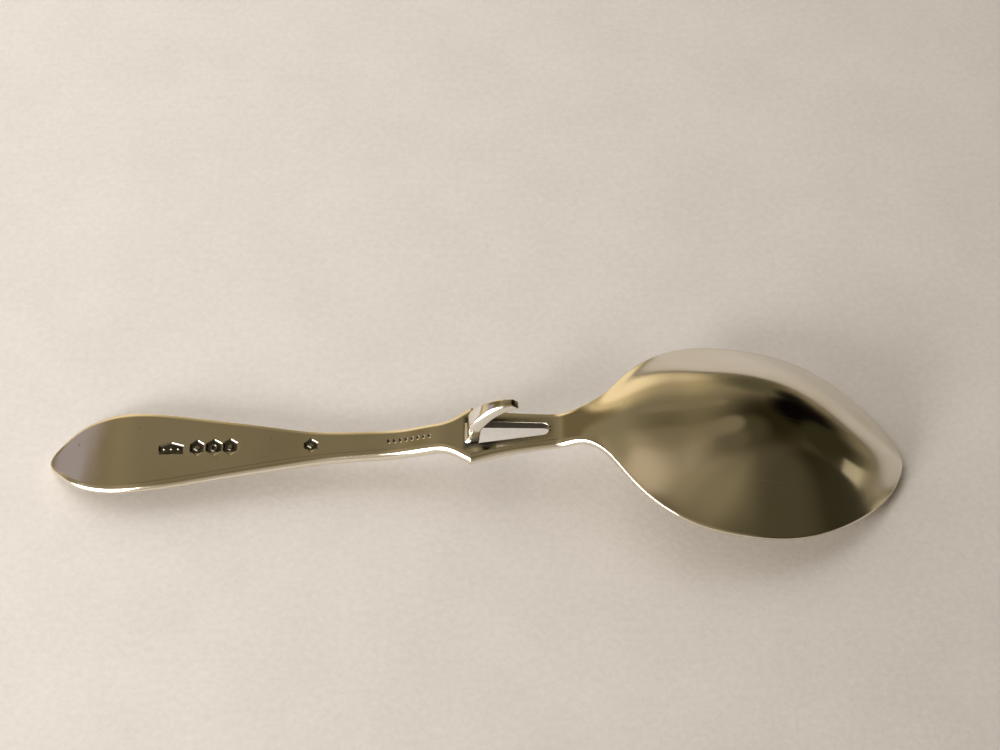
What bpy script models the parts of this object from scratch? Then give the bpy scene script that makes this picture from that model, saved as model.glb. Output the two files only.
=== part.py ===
"""Honey spoon with a jar hook, lying face down.

The spoon is a strip of silver worked into four stretches: a spatulate handle, a pierced stem,
a hook bent up out of the stem's slot, and a bowl. X runs from the handle's tip to the bowl's
tip, +Z points out of the back of the spoon, and Z = 0 is the table that both tips touch.
"""
import math

import bmesh
import bpy
import numpy as np
from mathutils import Vector

MM = 0.001

# Lengths along the spoon
HANDLE_LENGTH = 66 * MM
STEM_LENGTH = 26 * MM
BOWL_LENGTH = 54 * MM
SHOULDER_FROM_HANDLE = 6 * MM

# Widths across the spoon
HANDLE_WIDTH = 16 * MM
SHANK_WIDTH = 4.9 * MM
SHOULDER_WIDTH = 11.2 * MM
NECK_WIDTH = 7 * MM
BOWL_WIDTH = 38.2 * MM
TIP_BLUNT_WIDTH = 0.8 * MM

# Thickness of the metal, and how far its rounded edges stand out
HANDLE_THICKNESS = 1.5 * MM
STEM_THICKNESS = 2.3 * MM
RIM_THICKNESS = 1.3 * MM
BOWL_TIP_THICKNESS = 1.7 * MM
HANDLE_EDGE_ROUND = 0.7 * MM
RIM_EDGE_ROUND = 0.4 * MM

# Heights of the back's edge above the table, and the rise of the bowl's dome over its rim
HANDLE_END_HEIGHT = 5.7 * MM
SHANK_HEIGHT = 8.7 * MM
FLAT_START_HEIGHT = 10.5 * MM
FLAT_END_HEIGHT = 12.1 * MM
NECK_HEIGHT = 13.8 * MM
BOWL_DEPTH = 11.6 * MM
BOWL_TIP_LIFT = 0.1 * MM

# The flat in the stem's back, and the slot pierced through it
FLAT_FROM_SHOULDER = 3.9 * MM
FLAT_LENGTH = 18 * MM
SLOT_FROM_SHOULDER = 2.8 * MM
SLOT_LENGTH = 16 * MM
SLOT_ROOT_WIDTH = 5.0 * MM
SLOT_TIP_WIDTH = 2.3 * MM

# The hook, a tapered tongue that rises out of the slot and arches towards the bowl
HOOK_TIP_WIDTH = 1.5 * MM
HOOK_ROOT_THICKNESS = 1.7 * MM
HOOK_TIP_THICKNESS = 1.1 * MM
HOOK_FOOT_LENGTH = 2.7 * MM
HOOK_BEND_RADIUS = 1.2 * MM
HOOK_REACH = 7.9 * MM
HOOK_HEIGHT = 8.6 * MM

# Clear space between a piece and its neighbour and beside the tongue in its slot, how far the
# cutter runs past the metal, and the distance within which two points count as one
SEAM = 0.3 * MM
HOOK_CLEARANCE = 0.2 * MM
OVERRUN = 2 * MM
MERGE_DISTANCE = 0.0003 * MM

# How finely the shapes are divided
HANDLE_STATIONS = 34
STEM_STATIONS = 24
BOWL_STATIONS = 36
HOOK_STATIONS = 26
FACE_DIVISIONS = 6
BOWL_DIVISIONS = 18
EDGE_DIVISIONS = 4
HOOK_SIDES = 16
SLOT_END_DIVISIONS = 8
BISECTIONS = 40
SHARP_ANGLE = math.radians(40)

# Looks of the metal
SILVER_COLOUR = (0.84, 0.80, 0.71, 1.0)
HANDLE_ROUGHNESS = 0.12
STEM_ROUGHNESS = 0.12
HOOK_ROUGHNESS = 0.1
BOWL_ROUGHNESS = 0.08

# Places along X that the sizes give
TIP_X = -(HANDLE_LENGTH + STEM_LENGTH + BOWL_LENGTH) / 2
STEM_START_X = TIP_X + HANDLE_LENGTH
SHOULDER_X = STEM_START_X + SHOULDER_FROM_HANDLE
BOWL_START_X = STEM_START_X + STEM_LENGTH
BOWL_TIP_X = BOWL_START_X + BOWL_LENGTH
FLAT_START_X = SHOULDER_X - FLAT_FROM_SHOULDER
FLAT_END_X = FLAT_START_X + FLAT_LENGTH
SLOT_START_X = SHOULDER_X - SLOT_FROM_SHOULDER
SLOT_END_X = SLOT_START_X + SLOT_LENGTH
HOOK_ROOT_X = SLOT_START_X + SEAM + HOOK_FOOT_LENGTH
FLAT_SLOPE = (FLAT_END_HEIGHT - FLAT_START_HEIGHT) / FLAT_LENGTH

# Outlines as (share of the stretch's length, share of half its named width)
HANDLE_OUTLINE_SHARES = ((0.0, 0.0), (0.012, 0.26), (0.036, 0.47), (0.072, 0.71), (0.12, 0.89),
                         (0.18, 0.985), (0.26, 0.965), (0.35, 0.86), (0.45, 0.71), (0.57, 0.53))
SHANK_OUTLINE_SHARES = ((0.69, 1.24), (0.81, 1.06), (0.93, 1.06), (0.99, 1.12))
SHOULDER_SIDE_SHARES = ((0.2, 0.53), (0.46, 0.63), (0.73, 0.81))
BOWL_OUTLINE_SHARES = ((1.0, 0.0), (0.985, 0.18), (0.95, 0.37), (0.89, 0.557), (0.8, 0.757),
                       (0.69, 0.912), (0.58, 0.987), (0.47, 1.0), (0.37, 0.975), (0.28, 0.905),
                       (0.2, 0.785), (0.14, 0.645), (0.09, 0.485), (0.04, 0.315))
NECK_OUTLINE_SHARES = ((0.975, 1.16), (0.83, 0.97), (0.62, 1.07), (0.4, 1.3))

# Heights of the back's edge as (share of the stretch's length, share of its named height)
HANDLE_RISE_SHARES = ((0.05, 0.53), (0.11, 0.735), (0.17, 0.89), (0.23, 1.0), (0.36, 1.1),
                      (0.52, 1.2))
SHANK_RISE_SHARES = ((0.68, 0.825), (0.8, 0.9), (0.92, 1.0))
BOWL_RISE_SHARES = ((-0.03, 0.99), (0.04, 1.025), (0.14, 0.94), (0.31, 0.76), (0.53, 0.552),
                    (0.76, 0.334), (0.9, 0.164), (0.963, 0.1095))

# Rise of the dome's crown over the rim as (share of the bowl's length, share of its depth), and
# how much fuller than a parabola its cross section is; below zero its flanks are straighter
BOWL_DOME_SHARES = ((-0.02, 0.02), (0.04, 0.113), (0.13, 0.335), (0.28, 0.65), (0.47, 1.0),
                    (0.65, 0.952), (0.76, 0.742), (0.84, 0.53), (0.91, 0.327), (0.96, 0.185),
                    (1.0, 0.0))
DOME_FULLNESS_SHARE = -0.3

# The most of a half width that its rounded edge may take
EDGE_LIMIT_SHARE = 0.6

# The hook's arch as (share of its reach, share of its height), its taper by share of the length
# that stands free, and how square its section is, from 1 for an ellipse to 0 for a box
HOOK_ARCH_SHARES = ((0.046, 0.28), (0.126, 0.54), (0.285, 0.77), (0.483, 0.918), (0.709, 0.985),
                    (1.0, 1.0))
HOOK_TAPER_SHARES = ((0.0, 1.0), (0.11, 0.96), (0.49, 0.6), (0.81, 0.2), (1.0, 0.0))
HOOK_SECTION_SHARE = 0.5


def clear_scene():
    for item in list(bpy.data.objects):
        bpy.data.objects.remove(item, do_unlink=True)


def new_collection(name):
    collection = bpy.data.collections.new(name)
    bpy.context.scene.collection.children.link(collection)
    return collection


def silver(name, roughness):
    material = bpy.data.materials.new(name)
    material.use_nodes = True
    shader = material.node_tree.nodes["Principled BSDF"]
    shader.inputs["Base Color"].default_value = SILVER_COLOUR
    shader.inputs["Metallic"].default_value = 1.0
    shader.inputs["Roughness"].default_value = roughness
    return material


def spline(knots, values, start_slope=None, end_slope=None):
    """A cubic spline through the values, free at its ends or with the slopes given there."""
    knots = np.array(knots, dtype=float)
    values = np.array(values, dtype=float)
    last = len(knots) - 1
    spans = np.diff(knots)
    steps = np.diff(values) / spans
    matrix = np.zeros((last + 1, last + 1))
    right = np.zeros(last + 1)
    for i in range(1, last):
        matrix[i, i - 1] = spans[i]
        matrix[i, i] = 2 * (spans[i - 1] + spans[i])
        matrix[i, i + 1] = spans[i - 1]
        right[i] = 3 * (spans[i] * steps[i - 1] + spans[i - 1] * steps[i])
    for end, inner, step, slope in ((0, 1, steps[0], start_slope),
                                    (last, last - 1, steps[-1], end_slope)):
        matrix[end, end] = 2 if slope is None else 1
        matrix[end, inner] = 1 if slope is None else 0
        right[end] = 3 * step if slope is None else slope
    slopes = np.linalg.solve(matrix, right)

    def value(at):
        i = min(max(int(np.searchsorted(knots, at)) - 1, 0), last - 1)
        t = (at - knots[i]) / spans[i]
        return float((1 + 2 * t) * (1 - t) ** 2 * values[i]
                     + t * (1 - t) ** 2 * spans[i] * slopes[i]
                     + t * t * (3 - 2 * t) * values[i + 1]
                     - t * t * (1 - t) * spans[i] * slopes[i + 1])
    return value


def plan_curve(points):
    """Half width by x, along a smooth plan curve that crosses the middle squarely at its tip."""
    mirrored = [(x, -y) for x, y in points[3:0:-1]]
    path = np.array(mirrored + points)
    steps = np.sqrt(np.hypot(*np.diff(path, axis=0).T))
    knots = np.concatenate(([0.0], np.cumsum(steps)))
    along = spline(knots, path[:, 0])
    across = spline(knots, path[:, 1])
    tip = knots[len(mirrored)]
    end = knots[-1]
    towards_plus_x = points[-1][0] > points[0][0]

    def half_width(x):
        low, high = tip, end
        for _ in range(BISECTIONS):
            middle = (low + high) / 2
            if (along(middle) < x) == towards_plus_x:
                low = middle
            else:
                high = middle
        return max(across(low), TIP_BLUNT_WIDTH / 2)
    return half_width


def handle_side():
    """Half width by x from the handle's tip to the shoulder's corner."""
    points = [(TIP_X + s * HANDLE_LENGTH, w * HANDLE_WIDTH / 2) for s, w in HANDLE_OUTLINE_SHARES]
    points += [(TIP_X + s * HANDLE_LENGTH, w * SHANK_WIDTH / 2) for s, w in SHANK_OUTLINE_SHARES]
    points += [(STEM_START_X + s * SHOULDER_FROM_HANDLE, w * SHOULDER_WIDTH / 2)
               for s, w in SHOULDER_SIDE_SHARES]
    points += [(SHOULDER_X, SHOULDER_WIDTH / 2)]
    return plan_curve(points)


def bowl_side():
    """Half width by x from the bowl's tip back to the shoulder's corner."""
    points = [(BOWL_START_X + s * BOWL_LENGTH, w * BOWL_WIDTH / 2) for s, w in BOWL_OUTLINE_SHARES]
    points += [(STEM_START_X + s * STEM_LENGTH, w * NECK_WIDTH / 2)
               for s, w in NECK_OUTLINE_SHARES]
    points += [(SHOULDER_X, SHOULDER_WIDTH / 2)]
    return plan_curve(points)


def back_edge_height():
    """Height of the back's edge by x: a rise from each tip to the flat in the stem."""
    rise = [(TIP_X, HANDLE_THICKNESS)]
    rise += [(TIP_X + s * HANDLE_LENGTH, h * HANDLE_END_HEIGHT) for s, h in HANDLE_RISE_SHARES]
    rise += [(TIP_X + s * HANDLE_LENGTH, h * SHANK_HEIGHT) for s, h in SHANK_RISE_SHARES]
    rise += [(FLAT_START_X, FLAT_START_HEIGHT)]
    fall = [(FLAT_END_X, FLAT_END_HEIGHT)]
    fall += [(BOWL_START_X + s * BOWL_LENGTH, h * NECK_HEIGHT) for s, h in BOWL_RISE_SHARES]
    fall += [(BOWL_TIP_X, BOWL_TIP_THICKNESS + BOWL_TIP_LIFT)]
    before = spline(*zip(*rise), end_slope=FLAT_SLOPE)
    after = spline(*zip(*fall), start_slope=FLAT_SLOPE)

    def height(x):
        if x < FLAT_START_X:
            return before(x)
        if x > FLAT_END_X:
            return after(x)
        return flat_height(x)
    return height


def flat_height(x):
    return FLAT_START_HEIGHT + (x - FLAT_START_X) * FLAT_SLOPE


def dome_rise():
    """Rise of the dome's crown over the rim by x, none on the stem and the handle."""
    points = [(FLAT_END_X, 0.0)]
    points += [(BOWL_START_X + s * BOWL_LENGTH, h * BOWL_DEPTH) for s, h in BOWL_DOME_SHARES]
    crown = spline(*zip(*points), start_slope=0.0)

    def rise(x):
        return crown(x) if x > FLAT_END_X else 0.0
    return rise


def along_stretches(at_tip, in_stem, at_bowl, at_bowl_tip):
    """A size by x that runs smoothly from the handle through the stem to the bowl."""
    return spline((TIP_X, STEM_START_X, BOWL_START_X, BOWL_TIP_X),
                  (at_tip, in_stem, at_bowl, at_bowl_tip), start_slope=0.0, end_slope=0.0)


HALF_WIDTH_TO_SHOULDER = handle_side()
HALF_WIDTH_FROM_SHOULDER = bowl_side()
EDGE_HEIGHT = back_edge_height()
DOME_RISE = dome_rise()
THICKNESS = along_stretches(HANDLE_THICKNESS, STEM_THICKNESS, RIM_THICKNESS,
                            BOWL_TIP_THICKNESS)
EDGE_ROUND = along_stretches(HANDLE_EDGE_ROUND, HANDLE_EDGE_ROUND, RIM_EDGE_ROUND,
                             RIM_EDGE_ROUND)


def plate_section(x, divisions):
    """Points round the metal at x: over the back, round an edge, along the front and up again."""
    half_width = HALF_WIDTH_TO_SHOULDER(x) if x < SHOULDER_X else HALF_WIDTH_FROM_SHOULDER(x)
    bulge = min(EDGE_ROUND(x), EDGE_LIMIT_SHARE * half_width)
    reach = half_width - bulge
    thickness = THICKNESS(x)
    dome = DOME_RISE(x)
    full = DOME_FULLNESS_SHARE

    def back(s):
        return Vector((x, reach * s, EDGE_HEIGHT(x) + dome * (1 - (1 - full) * s**2 - full * s**4)))

    def outward(s):
        slope = dome * (2 * (1 - full) * s + 4 * full * s**3) / reach
        return Vector((0.0, slope, 1.0)).normalized()

    shares = [2 * i / divisions - 1 for i in range(divisions + 1)]
    over_back = [back(s) for s in shares]
    along_front = [back(s) - thickness * outward(s) for s in reversed(shares)]
    edges = []
    for side in (1, -1):
        normal = outward(side)
        sideways = side * Vector((0.0, normal.z, -normal.y))
        middle = back(side) - normal * thickness / 2
        arc = []
        for i in range(1, EDGE_DIVISIONS):
            turn = math.pi * i / EDGE_DIVISIONS
            arc.append(middle + normal * math.cos(turn) * thickness / 2
                       + sideways * math.sin(turn) * bulge)
        edges.append(arc if side > 0 else arc[::-1])
    return over_back + edges[0] + along_front + edges[1]


def skin(name, rings, collection, material):
    """A closed solid whose surface runs through the rings, capped flat at both ends."""
    around = len(rings[0])
    mesh = bmesh.new()
    bmesh.ops.create_grid(mesh, x_segments=around, y_segments=len(rings) - 1, size=1.0)
    for vertex in mesh.verts:
        column = round((vertex.co.x + 1) / 2 * around)
        row = round((vertex.co.y + 1) / 2 * (len(rings) - 1))
        vertex.co = rings[row][column % around]
    bmesh.ops.remove_doubles(mesh, verts=mesh.verts, dist=MERGE_DISTANCE)
    bmesh.ops.holes_fill(mesh, edges=mesh.edges, sides=0)
    bmesh.ops.recalc_face_normals(mesh, faces=mesh.faces)
    return finished(name, mesh, collection, material)


def finished(name, mesh, collection, material):
    data = bpy.data.meshes.new(name)
    mesh.to_mesh(data)
    mesh.free()
    data.shade_smooth()
    data.set_sharp_from_angle(angle=SHARP_ANGLE)
    data.materials.append(material)
    item = bpy.data.objects.new(name, data)
    collection.objects.link(item)
    return item


def eased(share):
    """Places that crowd towards the start of a run from 0 to 1."""
    return share ** 2


def even_run(start, end, count):
    return [start + (end - start) * i / (count - 1) for i in range(count)]


def add_handle(collection, material):
    end = STEM_START_X - SEAM / 2
    stations = [TIP_X + (end - TIP_X) * eased(share) for share in even_run(0, 1, HANDLE_STATIONS)]
    rings = [plate_section(x, FACE_DIVISIONS) for x in stations]
    return skin("handle", rings, collection, material)


def slot_half_width(x):
    """Half width of the slot where its sides are straight."""
    root = SLOT_ROOT_WIDTH / 2
    tip = SLOT_TIP_WIDTH / 2
    return root + (tip - root) * (x - SLOT_START_X) / (SLOT_LENGTH - tip)


def slot_outline():
    """The slot in plan: a square root end, straight tapered sides and a round far end."""
    root = SLOT_ROOT_WIDTH / 2
    radius = SLOT_TIP_WIDTH / 2
    centre = SLOT_END_X - radius
    points = [(SLOT_START_X, -root)]
    for i in range(SLOT_END_DIVISIONS + 1):
        turn = math.pi * (i / SLOT_END_DIVISIONS - 0.5)
        points.append((centre + radius * math.cos(turn), radius * math.sin(turn)))
    points.append((SLOT_START_X, root))
    return points


def add_slot_cutter(collection):
    curve = bpy.data.curves.new("slot_outline", "CURVE")
    curve.dimensions = "2D"
    curve.fill_mode = "BOTH"
    curve.extrude = STEM_THICKNESS + OVERRUN
    outline = curve.splines.new("POLY")
    points = slot_outline()
    outline.points.add(len(points) - 1)
    for point, (x, y) in zip(outline.points, points):
        point.co = (x, y, 0.0, 1.0)
    outline.use_cyclic_u = True
    drawn = bpy.data.objects.new("slot_outline", curve)
    drawn.location.z = flat_height((SLOT_START_X + SLOT_END_X) / 2) - STEM_THICKNESS / 2
    collection.objects.link(drawn)
    bpy.context.view_layer.update()
    solid = bpy.data.meshes.new_from_object(drawn.evaluated_get(
        bpy.context.evaluated_depsgraph_get()))
    mesh = bmesh.new()
    mesh.from_mesh(solid)
    bmesh.ops.remove_doubles(mesh, verts=mesh.verts, dist=MERGE_DISTANCE)
    bmesh.ops.recalc_face_normals(mesh, faces=mesh.faces)
    mesh.to_mesh(solid)
    mesh.free()
    cutter = bpy.data.objects.new("slot_cutter", solid)
    cutter.matrix_world = drawn.matrix_world
    collection.objects.link(cutter)
    bpy.data.objects.remove(drawn, do_unlink=True)
    cutter.hide_render = True
    cutter.display_type = "WIRE"
    return cutter


def add_stem(collection, material, cutter):
    start = STEM_START_X + SEAM / 2
    end = BOWL_START_X - SEAM / 2
    before = int(STEM_STATIONS * (SHOULDER_X - start) / (end - start)) + 2
    stations = even_run(start, SHOULDER_X, before)
    stations += even_run(SHOULDER_X, end, STEM_STATIONS - before)[1:]
    rings = [plate_section(x, FACE_DIVISIONS) for x in stations]
    stem = skin("slotted_stem", rings, collection, material)
    cut = stem.modifiers.new("slot", "BOOLEAN")
    cut.operation = "DIFFERENCE"
    cut.object = cutter
    return stem


def hook_path():
    """The tongue's middle line in the XZ plane, from its foot to its tip, and its foot's length."""
    foot_z = flat_height(HOOK_ROOT_X) - STEM_THICKNESS / 2
    bend = HOOK_BEND_RADIUS
    points = [(SLOT_START_X + SEAM, foot_z), (HOOK_ROOT_X - bend, foot_z),
              (HOOK_ROOT_X - bend * (1 - math.sin(math.pi / 4)),
               foot_z + bend * (1 - math.cos(math.pi / 4))),
              (HOOK_ROOT_X, foot_z + bend)]
    in_slot = len(points) - 1
    points += [(HOOK_ROOT_X + s * HOOK_REACH, flat_height(HOOK_ROOT_X) + h * HOOK_HEIGHT)
               for s, h in HOOK_ARCH_SHARES]
    path = np.array(points)
    knots = np.concatenate(([0.0], np.cumsum(np.hypot(*np.diff(path, axis=0).T))))
    return spline(knots, path[:, 0]), spline(knots, path[:, 1]), knots[-1], knots[in_slot]


def squared(value):
    """A sine or cosine pushed outwards, which turns an ellipse into a rounded box."""
    return math.copysign(abs(value) ** HOOK_SECTION_SHARE, value)


def add_hook(collection, material):
    along, up, length, foot = hook_path()
    taper = spline(*zip(*HOOK_TAPER_SHARES))
    root_half_width = slot_half_width(HOOK_ROOT_X + HOOK_ROOT_THICKNESS / 2) - HOOK_CLEARANCE
    tip_half_width = HOOK_TIP_WIDTH / 2
    step = length / HOOK_STATIONS
    rings = []
    for at in even_run(0, length, HOOK_STATIONS):
        heading = Vector((along(at + step) - along(at - step), 0.0, up(at + step) - up(at - step)))
        heading.normalize()
        normal = Vector((-heading.z, 0.0, heading.x))
        middle = Vector((along(at), 0.0, up(at)))
        wide = taper(max(at - foot, 0.0) / (length - foot))
        half_width = tip_half_width + (root_half_width - tip_half_width) * wide
        half_thick = (HOOK_TIP_THICKNESS + (HOOK_ROOT_THICKNESS - HOOK_TIP_THICKNESS) * wide) / 2
        ring = []
        for i in range(HOOK_SIDES):
            turn = 2 * math.pi * (i + 0.5) / HOOK_SIDES
            across = squared(math.cos(turn)) * half_width
            rise = squared(math.sin(turn)) * half_thick
            ring.append(middle + Vector((0.0, across, 0.0)) + normal * rise)
        rings.append(ring)
    return skin("jar_hook", rings, collection, material)


def add_bowl(collection, material):
    start = BOWL_START_X + SEAM / 2
    stations = [BOWL_TIP_X + (start - BOWL_TIP_X) * eased(share)
                for share in even_run(0, 1, BOWL_STATIONS)]
    rings = [plate_section(x, BOWL_DIVISIONS) for x in stations]
    return skin("bowl", rings, collection, material)


def build():
    clear_scene()
    parts = new_collection("honey_spoon")
    cutters = new_collection("cutters")
    add_handle(parts, silver("handle_silver", HANDLE_ROUGHNESS))
    add_stem(parts, silver("stem_silver", STEM_ROUGHNESS), add_slot_cutter(cutters))
    add_hook(parts, silver("hook_silver", HOOK_ROUGHNESS))
    add_bowl(parts, silver("bowl_silver", BOWL_ROUGHNESS))


build()
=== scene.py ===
"""Looks of the honey spoon: polished, lightly tarnished silver, lying face down on pale paper.

The spoon is drawn in millimetres and its coordinates are scaled to metres when they go into a
mesh. X runs from the handle's tip to the bowl's tip, and +Z points out of the spoon's back.
"""
import math

import bmesh
import bpy
import numpy as np
from mathutils import Matrix, Vector


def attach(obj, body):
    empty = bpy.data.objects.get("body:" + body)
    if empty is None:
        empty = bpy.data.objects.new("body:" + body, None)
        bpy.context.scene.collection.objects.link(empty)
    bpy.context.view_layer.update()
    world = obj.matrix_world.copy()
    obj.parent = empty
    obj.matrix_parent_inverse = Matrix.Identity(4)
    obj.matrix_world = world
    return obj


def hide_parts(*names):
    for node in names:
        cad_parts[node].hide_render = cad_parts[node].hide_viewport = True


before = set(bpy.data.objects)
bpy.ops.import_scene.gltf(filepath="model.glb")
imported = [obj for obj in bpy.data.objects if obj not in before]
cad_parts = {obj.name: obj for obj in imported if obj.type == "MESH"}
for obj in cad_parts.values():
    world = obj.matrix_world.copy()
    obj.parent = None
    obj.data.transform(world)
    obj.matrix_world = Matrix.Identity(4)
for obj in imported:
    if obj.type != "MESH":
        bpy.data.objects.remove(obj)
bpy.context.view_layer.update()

MM = 0.001

# Lengths along the spoon
HANDLE_LENGTH = 66.0
STEM_LENGTH = 26.0
BOWL_LENGTH = 54.0
SHOULDER_FROM_HANDLE = 6.0
HANDLE_TIP = -(HANDLE_LENGTH + STEM_LENGTH + BOWL_LENGTH) / 2
STEM_START = HANDLE_TIP + HANDLE_LENGTH
SHOULDER = STEM_START + SHOULDER_FROM_HANDLE
BOWL_START = STEM_START + STEM_LENGTH
BOWL_TIP = BOWL_START + BOWL_LENGTH

# Half widths of the handle's leaf, its shank, the shoulder, the neck and the bowl
HANDLE_HALF = 8.0
SHANK_HALF = 2.45
SHOULDER_HALF = 5.6
NECK_HALF = 3.5
BOWL_HALF = 19.1

# Heights of the back over the table, and of the bowl's dome over the back's edge
TIP_HEIGHT = 1.4
HANDLE_END_HEIGHT = 5.7
SHANK_HEIGHT = 8.7
FLAT_START_HEIGHT = 10.5
FLAT_END_HEIGHT = 12.1
NECK_HEIGHT = 13.8
BOWL_DEPTH = 11.6

# The flat in the back of the stem, from the handle's side to the bowl's side
FLAT_START = SHOULDER - 3.9
FLAT_END = FLAT_START + 18.0
FLAT_SLOPE = (FLAT_END_HEIGHT - FLAT_START_HEIGHT) / (FLAT_END - FLAT_START)

# The slot: its open part starts under the hook
SLOT_START = SHOULDER - 2.8
SLOT_END = SLOT_START + 16.0
SLOT_ROOT_HALF = 2.5
SLOT_TIP_HALF = 1.15
SLOT_OPEN_START = -0.9
SLOT_CORNER = 0.35
SLOT_EASE = 0.13

# The plan lines round the slot: where they meet the outline between the slot's stretches, and
# how many each stretch has
SLOT_OUTER = (-5.5, -2.6, -0.5, 10.4, 12.5, 15.5)
SLOT_COUNTS = (14, 12, 46, 12, 9)
SLOT_CORNER_POINTS = 6
SLOT_END_POINTS = 13


def shared(start, length, size, shares):
    """Points from pairs of a share of a length and a share of a width or height."""
    return [(start + s * length, share * size) for s, share in shares]


# Plan outlines as (x, half width)
HANDLE_OUTLINE = shared(HANDLE_TIP, HANDLE_LENGTH, HANDLE_HALF, (
    (-0.005, 0.0), (0.01, 0.26), (0.036, 0.47), (0.072, 0.71), (0.12, 0.89), (0.18, 0.985),
    (0.26, 0.97), (0.35, 0.87), (0.45, 0.73), (0.57, 0.565)))
HANDLE_OUTLINE += shared(HANDLE_TIP, HANDLE_LENGTH, SHANK_HALF, (
    (0.69, 1.36), (0.81, 1.18), (0.93, 1.14), (0.99, 1.17)))
HANDLE_OUTLINE += shared(STEM_START, SHOULDER_FROM_HANDLE, SHOULDER_HALF, (
    (0.2, 0.53), (0.46, 0.63), (0.73, 0.81), (1.0, 1.0)))
BOWL_OUTLINE = shared(BOWL_START, BOWL_LENGTH, BOWL_HALF, (
    (1.004, 0.0), (0.988, 0.18), (0.95, 0.37), (0.89, 0.557), (0.8, 0.757), (0.69, 0.912),
    (0.58, 0.987), (0.47, 1.0), (0.37, 0.975), (0.28, 0.905), (0.2, 0.785), (0.14, 0.645),
    (0.09, 0.485), (0.04, 0.315)))
BOWL_OUTLINE += shared(STEM_START, STEM_LENGTH, NECK_HALF, (
    (0.975, 1.16), (0.83, 0.97), (0.62, 1.07), (0.4, 1.3)))
BOWL_OUTLINE += [(SHOULDER, SHOULDER_HALF)]

# Side outlines as (x, height): the back's edge up to the flat and on from it, and the dome's crown
# over that edge
RISE_TO_FLAT = [(HANDLE_TIP, TIP_HEIGHT)]
RISE_TO_FLAT += shared(HANDLE_TIP, HANDLE_LENGTH, HANDLE_END_HEIGHT, (
    (0.05, 0.53), (0.11, 0.735), (0.17, 0.89), (0.23, 0.99), (0.36, 1.08), (0.52, 1.17)))
RISE_TO_FLAT += shared(HANDLE_TIP, HANDLE_LENGTH, SHANK_HEIGHT, (
    (0.68, 0.805), (0.8, 0.88), (0.92, 0.99)))
RISE_TO_FLAT += [(FLAT_START, FLAT_START_HEIGHT)]
FALL_FROM_FLAT = [(FLAT_END, FLAT_END_HEIGHT)]
FALL_FROM_FLAT += shared(BOWL_START, BOWL_LENGTH, NECK_HEIGHT, (
    (-0.03, 0.99), (0.04, 1.025), (0.14, 0.94), (0.31, 0.76), (0.53, 0.552), (0.76, 0.336),
    (0.9, 0.17), (0.963, 0.118)))
FALL_FROM_FLAT += [(BOWL_TIP, TIP_HEIGHT)]
DOME = [(FLAT_END, 0.0)]
DOME += shared(BOWL_START, BOWL_LENGTH, BOWL_DEPTH, (
    (-0.02, 0.02), (0.04, 0.113), (0.13, 0.335), (0.28, 0.65), (0.47, 1.0), (0.65, 0.952),
    (0.76, 0.746), (0.84, 0.55), (0.91, 0.341), (0.96, 0.16), (1.0, 0.0)))

# How much fuller than a parabola the bowl's section is, and how much is added at the neck, fading
# over this length; below zero the flanks are straighter
DOME_FULLNESS = -0.3
NECK_FULLNESS = -0.1
NECK_FADE = 18.0

# Where the sizes of the metal are given: the handle's tip, the stem, the neck and the bowl's tip
STRETCHES = (HANDLE_TIP, STEM_START, BOWL_START, BOWL_TIP)
METAL_THICKNESS = (1.4, 2.25, 1.5, 1.4)
EDGE_ROUND = (0.5, 0.62, 0.5, 0.4)

# Steps in the section of an edge, and its form: 1 is a round and 2 a plain bevel
EDGE_STEPS = 14
EDGE_BEVEL = 1.4

# The back falls off a little beside the edge of the handle and the stem, over three rows given as
# shares of the width and of the fall. It starts over this run from the handle's tip, and ends
# this far before the bowl
WORN_WIDTH = 0.6
WORN_FALL = 0.22
WORN_ROWS = ((0.66, 0.33), (0.33, 0.66), (0.0, 1.0))
WORN_START = (1.0, 9.0)
WORN_END = 5.0

# Section lines turn square to the spoon where two pieces meet, and ease round the shoulder: the
# reaches of both, and how finely the outline is sampled for them
JOIN_SQUARE = (0.1, 4.0)
JOIN_STRIP = 0.02
LINE_EASE = 0.05
SHOULDER_EASE = 1.2
SHOULDER_REACH = 2.0
EASE_SAMPLES = 9
PLAN_SAMPLES = 8000
PLAN_STEP = 0.02

# The plan lines fan round each tip: over this much of the outline, from this far inside the tip,
# and in this many lines
HANDLE_FAN = (9.0, 2.3, 34)
BOWL_FAN = (15.0, 3.4, 46)

# A fan ends at the slope of the straight lines beside it, taken over this step, and the first of
# them stands at least this far from it
FAN_STEP = 0.05
FAN_GAP = 0.1

# Section lines between the fans as (start, end, spacing), closer where the marks are
HANDLE_LINES = ((-67.0, -54.0, 0.6), (-54.0, -40.2, 0.09), (-40.2, -29.5, 0.55),
                (-29.5, -26.3, 0.09), (-26.2, -15.2, 0.55), (-15.2, -7.4, 0.11),
                (-7.4, STEM_START - JOIN_STRIP, 0.36), (STEM_START - JOIN_STRIP, STEM_START, 0.02))
STEM_LINES_BEFORE = ((STEM_START, STEM_START + JOIN_STRIP, 0.02),
                     (STEM_START + JOIN_STRIP, SLOT_OUTER[0], 0.3))
STEM_LINES_AFTER = ((SLOT_OUTER[-1], BOWL_START - JOIN_STRIP, 0.35),
                    (BOWL_START - JOIN_STRIP, BOWL_START, 0.02))
BOWL_LINES = ((BOWL_START, BOWL_START + JOIN_STRIP, 0.02), (BOWL_START + JOIN_STRIP, 66.0, 0.4))

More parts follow.
